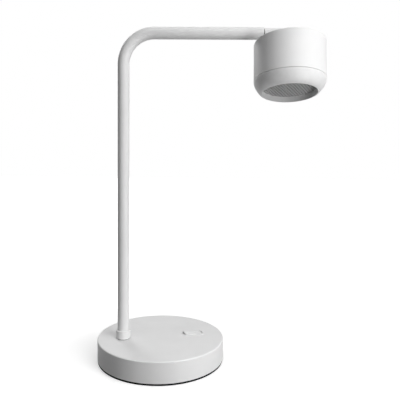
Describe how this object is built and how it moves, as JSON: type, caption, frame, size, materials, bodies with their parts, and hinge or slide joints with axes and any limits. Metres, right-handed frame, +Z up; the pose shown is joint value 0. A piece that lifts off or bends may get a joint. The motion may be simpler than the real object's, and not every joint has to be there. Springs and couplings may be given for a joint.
{
  "type": "desk lamp",
  "caption": "Desk lamp with a round weighted base, a bent tube that swivels on it and a drum-shaped head that turns about the arm, lit through a honeycomb louver.",
  "frame": {"origin": "centre of the base's underside, on the desk", "axes": "+Z up; +X from the stem to the switch along the base's centre line; the head hangs on the +X side, turned a little towards -Y; the front is the -Y side"},
  "size_m": [0.2671, 0.1782, 0.4111],
  "materials": {
    "foot_pad": "matt black rubber",
    "zinc_steel": "zinc-plated sheet steel",
    "screw_steel": "dark zinc-plated steel",
    "cast_weight": "rough cast iron",
    "base_paint": "smooth satin white powder coat",
    "switch_frame": "semi-gloss white plastic",
    "switch_button": "semi-gloss white plastic",
    "contact_brass": "plain brass",
    "socket_plastic": "matt black plastic",
    "lead_sheath": "satin black sheath",
    "board_green": "green solder mask",
    "coil_ferrite": "dull dark ferrite",
    "capacitor_can": "drawn aluminium can",
    "bush_nylon": "natural nylon",
    "dark_washer": "black acetal",
    "tube_paint": "smooth satin white powder coat",
    "turned_steel": "turned, nickel-plated steel",
    "spring_steel": "tempered spring steel",
    "elbow_paint": "smooth satin white powder coat",
    "head_paint": "smooth satin white powder coat",
    "bezel_paint": "satin white moulding",
    "sink_aluminium": "extruded aluminium, as cut",
    "led_board_white": "white-lacquered aluminium",
    "led_phosphor": "yellow phosphor",
    "reflector_metal": "bright-dipped aluminium",
    "lens_frost": "frosted",
    "louver_metal": "satin aluminium foil honeycomb"
  },
  "bodies": {
    "base": {"foot_pad": "foot_pad", "base_cover": "zinc_steel", "cover_screws": "screw_steel", "base_weight": "cast_weight", "cover_posts": "zinc_steel", "base_shell": "base_paint", "switch_housing": "switch_frame", "switch_terminals": "contact_brass", "switch_lead": "lead_sheath", "power_socket": "socket_plastic", "socket_pin": "contact_brass", "socket_tabs": "contact_brass", "socket_clamp": "zinc_steel", "clamp_screws": "screw_steel", "socket_lead": "lead_sheath", "driver_board": "board_green", "driver_coil": "coil_ferrite", "driver_capacitors": "capacitor_can", "board_spacers": "bush_nylon", "board_screws": "screw_steel", "base_lead": "lead_sheath", "swivel_bush": "bush_nylon", "collar_washer": "dark_washer", "stop_post": "zinc_steel"},
    "rocker": {"switch_rocker": "switch_button", "switch_contact": "contact_brass"},
    "stem": {"stem_tube": "tube_paint", "stem_collar": "tube_paint", "stem_spigot": "turned_steel", "stop_washer": "spring_steel", "cone_washer": "spring_steel", "stem_nut": "turned_steel", "stem_lead": "lead_sheath", "arm_bush": "bush_nylon"},
    "head": {"arm_washer": "dark_washer", "swivel_shaft": "turned_steel", "shaft_stop": "spring_steel", "shaft_washer": "spring_steel", "shaft_nut": "turned_steel", "swivel_elbow": "elbow_paint", "neck_washer": "spring_steel", "neck_nut": "turned_steel", "head_shell": "head_paint", "heat_sink": "sink_aluminium", "sink_screws": "screw_steel", "led_board": "led_board_white", "led_chip": "led_phosphor", "led_screws": "screw_steel", "head_lead": "lead_sheath", "reflector": "reflector_metal", "retaining_ring": "spring_steel", "lens": "lens_frost", "louver": "louver_metal", "bezel": "bezel_paint"}
  },
  "joints": [
    {"name": "stem_swivel", "type": "hinge", "parent": "base", "child": "stem", "pos_m": [-0.048, 0, 0.0275], "axis": [0, 0, 1], "range_deg": [-76.4, 103.6]},
    {"name": "head_swivel", "type": "hinge", "parent": "stem", "child": "head", "pos_m": [0.11529, -0.0395, 0.404], "axis": [0.972, -0.2351, 0], "range_deg": [-81.1, 98.9]},
    {"name": "rocker_tilt", "type": "hinge", "parent": "base", "child": "rocker", "pos_m": [0.0415, 0, 0.023], "axis": [0, -1, 0], "range_deg": [0, 12]}
  ]
}
